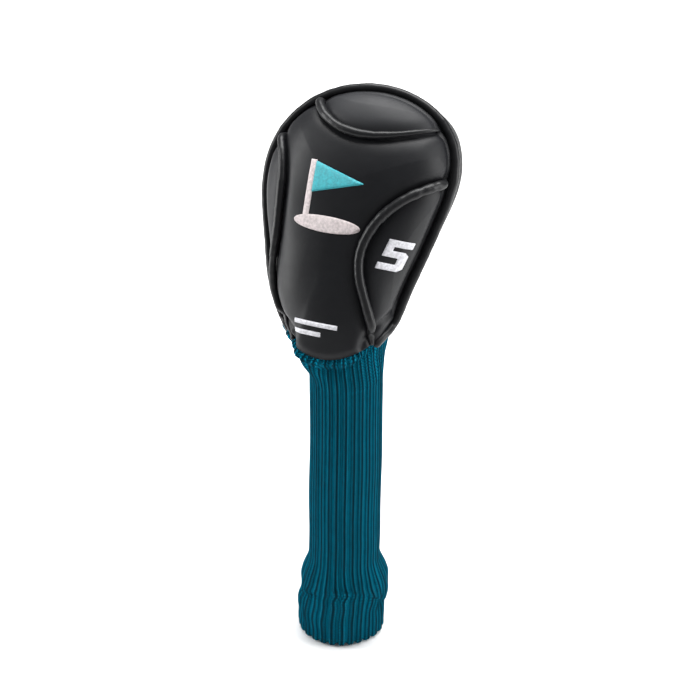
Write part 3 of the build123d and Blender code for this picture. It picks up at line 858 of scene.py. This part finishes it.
MOUTH_Z = np.interp(ANGLES, _turn, mouth_z, period=2 * math.pi)
TUBE_TOP = -9.0
TUBE_LENGTH = 158
FLOOR_Z = -193.0
CUFF_RADIUS = 25.2
CUFF_INNER = 20.4
BLOUSE_RADIUS = 25.0
COURSE = 1.45
RIB_HEIGHT = 1.45
PROBE_RADIUS = 24.0
# How far each column is turned to the right and to the front of the cover, from -1 to 1
RIGHTWARD = np.cos(ANGLES - math.radians(17))
FRONTWARD = np.cos(ANGLES + math.radians(73))
_ring = np.stack([np.cos(ANGLES) * PROBE_RADIUS, np.sin(ANGLES) * PROBE_RADIUS, 0 * ANGLES], 1)
# The tube ends in a fold over the cuff, higher in front than at the sides
FOLD_Z = (-168 + 9.5 * smooth(FRONTWARD, 0.1, 1) - 6.5 * smooth(RIGHTWARD, 0.45, 1)
          - 2.0 * smooth(-FRONTWARD, 0, 1) + 1.3 * noise(_ring, 80, 21))


def uneven(z, seed, size, squash=1.0):
    """Noise for a grid of heights by columns, taken on a plain cylinder."""
    turn = z * 0 + ANGLES
    probe = np.stack([np.cos(turn) * PROBE_RADIUS, np.sin(turn) * PROBE_RADIUS, z * squash], 2)
    return noise(probe.reshape(-1, 3), seed, size).reshape(z.shape)


def wander(z):
    """Sideways drift of the ribs, in radians: slight along the tube, loose around the cuff."""
    loose = smooth(-z, 140, 154)
    jog = np.exp(-((z - FOLD_Z) / 5.0) ** 2)
    return (0.010 * uneven(z, 51, 70) + 0.016 * loose * uneven(z, 52, 24, 0.7)
            + 0.055 * jog * uneven(z, 53, 15, 1.1))


def rib(shape, height, width):
    """Height of the knit's surface across the ribs: a deep valley between two, a slight one in each."""
    q = np.broadcast_to(ANGLES * RIBS / (2 * math.pi), shape) % 1.0
    gap = np.minimum(q, 1 - q)
    valley = np.exp(-(gap / width) ** 2)
    split = 0.22 * np.exp(-((q - 0.5) / 0.07) ** 2)
    return height * (0.45 - valley - split)


def lean(z):
    """Sideways offset of the sock's middle: it hangs a little crooked."""
    return (1.3 * smooth(-z, -4, 14) * (1 - 0.75 * smooth(-z, 60, 120)) - 0.5 * smooth(-z, 120, 145)
            - 1.7 * smooth(-z, 160, 178))


def knit_mesh(name, radius, z, height, rows_mm):
    """Ring of ribs; radius and z are grids of rows by columns, rows_mm the length knitted so far."""
    across, down = np.gradient(radius, axis=0), np.gradient(z, axis=0)
    length = np.hypot(across, down) + 1e-9
    lift = rib(z.shape, height, 0.18 + 0.05 * smooth(-z, 145, 165))
    r = radius - down / length * lift
    zz = z + across / length * lift
    turned = ANGLES + wander(z)
    grid = np.stack([r * np.cos(turned) + lean(z), r * np.sin(turned), zz], 2)
    p, quads = strip(grid, close_u=False)
    wale = np.broadcast_to(np.arange(COLUMNS + 1) / COLUMNS * RIBS, z.shape).ravel()
    course = np.broadcast_to(np.asarray(rows_mm / COURSE).reshape(-1, 1), z.shape).ravel()
    return make(name, p, quads[:, ::-1], TEAL, attributes={"wale": wale, "course": course})


def knitted_length(radius, z):
    """Length of one column of the knit down to each of its rows."""
    return np.r_[0, np.cumsum(np.hypot(np.diff(radius), np.diff(z)))]


# Gathered band: from inside the mouth, out in a soft roll under the leather's edge, in to the tube
rows = 96
RIGHT_SIDE = smooth(RIGHTWARD, 0.2, 0.9)
pucker = noise(_ring, 61, 6.0)
roll = 0.7 + 0.3 * smooth(-RIGHTWARD, -0.6, 0.7)
edge_r = MOUTH_R - 1.3 - 0.7 * RIGHT_SIDE
drop = MOUTH_Z + 15.0
BAND_END_RADIUS, BAND_LEAST_RADIUS = 20.4, 20.3


def toward_tube(share):
    """Radius between the mouth's edge, at share 1, and the tube."""
    return np.maximum(share * edge_r + (1 - share) * SOCK_RADIUS, BAND_LEAST_RADIUS)


keys_r = np.stack([edge_r - 3.2, edge_r - 1.2, edge_r + 1.3 * roll, toward_tube(1.0 - 0.36 * RIGHT_SIDE),
                   toward_tube(0.55 - 0.21 * RIGHT_SIDE), toward_tube(0.05),
                   BAND_END_RADIUS + 0 * edge_r])
keys_z = np.stack([MOUTH_Z + 7.0, MOUTH_Z + 1.2, MOUTH_Z - 0.12 * drop, MOUTH_Z - 0.35 * drop,
                   MOUTH_Z - 0.62 * drop, MOUTH_Z - 0.88 * drop, MOUTH_Z - drop])
curve = spline(np.hstack([keys_r, keys_z]), rows)
band_r, band_z = curve[:, :COLUMNS + 1], curve[:, COLUMNS + 1:]
depth_below = MOUTH_Z - band_z
puff = np.exp(-((depth_below - 2.8) / 2.3) ** 2)
waist = np.exp(-((depth_below - 7.6) / 1.8) ** 2)
band_r = band_r + (1.6 + 0.9 * pucker) * puff * (1 - 0.9 * RIGHT_SIDE) - 0.9 * waist
front = COLUMNS // 4
run = knitted_length(band_r[:, front], band_z[:, front])
top_band = knit_mesh("sock_top_band_knit", band_r, band_z, RIB_HEIGHT + 0.7 * puff, run)
thicken(top_band, KNIT_THICKNESS)
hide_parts("sock_top_band")

# Ribbed tube, blousing out over the cuff
rows = 230
share = np.linspace(0, 1, rows)[:, None]
zs = TUBE_TOP + share * (FOLD_Z - TUBE_TOP)
bulge = (BLOUSE_RADIUS + 1.3 * smooth(RIGHTWARD, 0.2, 1) + 0.2 * smooth(-RIGHTWARD, 0.2, 1)
         - 0.5 * smooth(FRONTWARD, 0.3, 1))
tube_r = SOCK_RADIUS - 0.25 + 0.2 * uneven(zs, 71, 50) * smooth(-zs, 20, 40)
tube_r += (bulge - SOCK_RADIUS) * smooth(-zs, 139, 159)
tube_r += smooth(-zs, 146, 158) * 0.6 * uneven(zs, 72, 15)
tube_r -= 0.5 * (1 - smooth(-zs, 10, 14))
gap = np.clip((zs - FOLD_Z) / 2.6, 0, 1)
tuck = 0.9 + 1.5 * smooth(RIGHTWARD, 0, 0.9) + 0.6 * smooth(-RIGHTWARD, 0.3, 1)
tube_r -= tuck * (1 - np.sqrt(1 - (1 - gap) ** 2))
tube_height = RIB_HEIGHT + 0.5 * smooth(-zs, 142, 158)
sock_tube = knit_mesh("sock_tube_knit", tube_r, zs, tube_height, run[-1] + share.ravel() * TUBE_LENGTH)
thicken(sock_tube, KNIT_THICKNESS)
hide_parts("sock_tube")

# Cuff: comes out from under the fold and turns up inside at the bottom
half = (CUFF_RADIUS - CUFF_INNER) / 2
rows = 60
down = np.linspace(0, 1, rows)[:, None]
top_z = FOLD_Z + 4.0
outer_z = top_z + down * (FLOOR_Z + half - top_z)
below = FOLD_Z - outer_z
outer_r = CUFF_RADIUS - 0.1 + 0.5 * uneven(outer_z, 72, 15)
outer_r -= (1.5 - 0.7 * smooth(FRONTWARD, 0.2, 1)) * (1 - smooth(below, -0.5, 4.5))
fold = np.linspace(0, math.pi, 24)[1:, None]
fold_r = CUFF_RADIUS - 0.1 - half + half * np.cos(fold) + 0 * FOLD_Z
fold_r += (outer_r[-1] - CUFF_RADIUS + 0.1) * np.clip(np.cos(fold), 0, 1)
fold_z = FLOOR_Z + half - half * np.sin(fold) + 0 * FOLD_Z
inner_z = np.linspace(FLOOR_Z + half + 1, -172, 14)[:, None] + 0 * FOLD_Z
inner_r = CUFF_INNER - 0.1 + 0 * inner_z
cuff_r = np.vstack([outer_r, fold_r, inner_r])
cuff_z = np.vstack([outer_z, fold_z, inner_z])
OUTER_RIB, INNER_RIB = 2.2, 0.9
cuff_height = np.r_[np.full(len(outer_r), OUTER_RIB), np.linspace(OUTER_RIB, INNER_RIB, len(fold_r)),
                    np.full(len(inner_r), INNER_RIB)][:, None]
arc = knitted_length(cuff_r[:, 0], cuff_z[:, 0])
obj = knit_mesh("cuff_knit", cuff_r, cuff_z, cuff_height, run[-1] + TUBE_LENGTH + arc)
place(obj, "sock", "cuff")

# Elastic bands inside the neck and the cuff
ELASTIC_THICKNESS = 0.5
for label, low, high, radius, body in (("neck_elastic", -11, -5, 17.8, "shell"),
                                       ("cuff_elastic", -189, -177, 22.6, "sock")):
    a = np.linspace(0, 2 * math.pi, 240, endpoint=False)
    outside = radius + ELASTIC_THICKNESS
    profile = [(radius, low), (outside, low), (outside, high), (radius, high)]
    ring = np.stack([[(r * math.cos(x), r * math.sin(x), z) for x in a] for r, z in profile])
    ring[..., 0] += lean(ring[..., 2])
    obj = make(label + "_band", *strip(ring, close_v=True), ELASTIC)
    place(obj, body, label)

# The top band and the tube keep their placement baked into their points; their bend, from lean, is spread
# over the neck from just under the mouth down
for knit_part in (top_band, sock_tube):
    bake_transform(knit_part)

# ------------------------------------------------------------------ stage, light and camera
# The cuff's ribs reach this far below its edge
RIB_DROP = 0.6
bpy.ops.mesh.primitive_plane_add(size=14.0, location=(0, 0, (FLOOR_Z - RIB_DROP) * MM))
floor = bpy.context.object
floor.name = "floor"
paper, _, _ = new_material("floor_paper", (0.93, 0.93, 0.93), 0.9)
floor.data.materials.append(paper)

world = bpy.data.worlds.new("studio")
bpy.context.scene.world = world
world.use_nodes = True
world.node_tree.nodes["Background"].inputs["Color"].default_value = (1, 1, 1, 1)
world.node_tree.nodes["Background"].inputs["Strength"].default_value = 0.32

AZIMUTH, ELEVATION = math.radians(17.0), math.radians(33.0)
toward = np.array([math.sin(AZIMUTH) * math.cos(ELEVATION), -math.cos(AZIMUTH) * math.cos(ELEVATION),
                   math.sin(ELEVATION)])
right = np.array([math.cos(AZIMUTH), math.sin(AZIMUTH), 0.0])


def softbox(name, place_at, size, power):
    """Rectangular light, in metres and watts, turned to the middle of the cover."""
    target = (0.0, 0.02, 0.0)
    data = bpy.data.lights.new(name, "AREA")
    data.shape = "RECTANGLE"
    data.size, data.size_y = size
    data.energy = power
    lamp = bpy.data.objects.new(name, data)
    bpy.context.scene.collection.objects.link(lamp)
    lamp.location = place_at
    lamp.rotation_euler = (Vector(target) - Vector(place_at)).to_track_quat("-Z", "Y").to_euler()


softbox("top_box", (0.05, 0.45, 1.25), (1.3, 0.9), 40.0)
softbox("left_box", (-1.15, -0.25, 0.35), (0.5, 1.3), 19.0)
softbox("right_box", (1.15, 0.1, 0.3), (0.5, 1.3), 14.0)

# Dark card behind the camera keeps the front of the leather deep, as in a studio
bpy.ops.mesh.primitive_plane_add(size=1.0, location=(-1.5, -4.2, 1.9))
card = bpy.context.object
card.name = "dark_card"
card.scale = (4.0, 3.0, 1.0)
card.rotation_euler = Vector((0.34, 0.95, -0.42)).to_track_quat("-Z", "Y").to_euler()
card.data.materials.append(new_material("card_black", (0.01, 0.01, 0.01), 0.9)[0])

camera_data = bpy.data.cameras.new("camera")
camera = bpy.data.objects.new("camera", camera_data)
bpy.context.scene.collection.objects.link(camera)
CAMERA_DISTANCE = 1.5
VIEW_WIDTH = 0.392
SENSOR_WIDTH = 36.0
target = 0.0034 * right
eye = target + CAMERA_DISTANCE * toward
up = np.cross(toward, right)
camera.matrix_world = Matrix([[right[i], up[i], toward[i], eye[i]] for i in range(3)] + [[0, 0, 0, 1]])
camera_data.sensor_width = SENSOR_WIDTH
camera_data.lens = SENSOR_WIDTH / (VIEW_WIDTH / CAMERA_DISTANCE)
camera_data.clip_end = 20.0
bpy.context.scene.camera = camera
bpy.context.scene.view_settings.view_transform = "Standard"
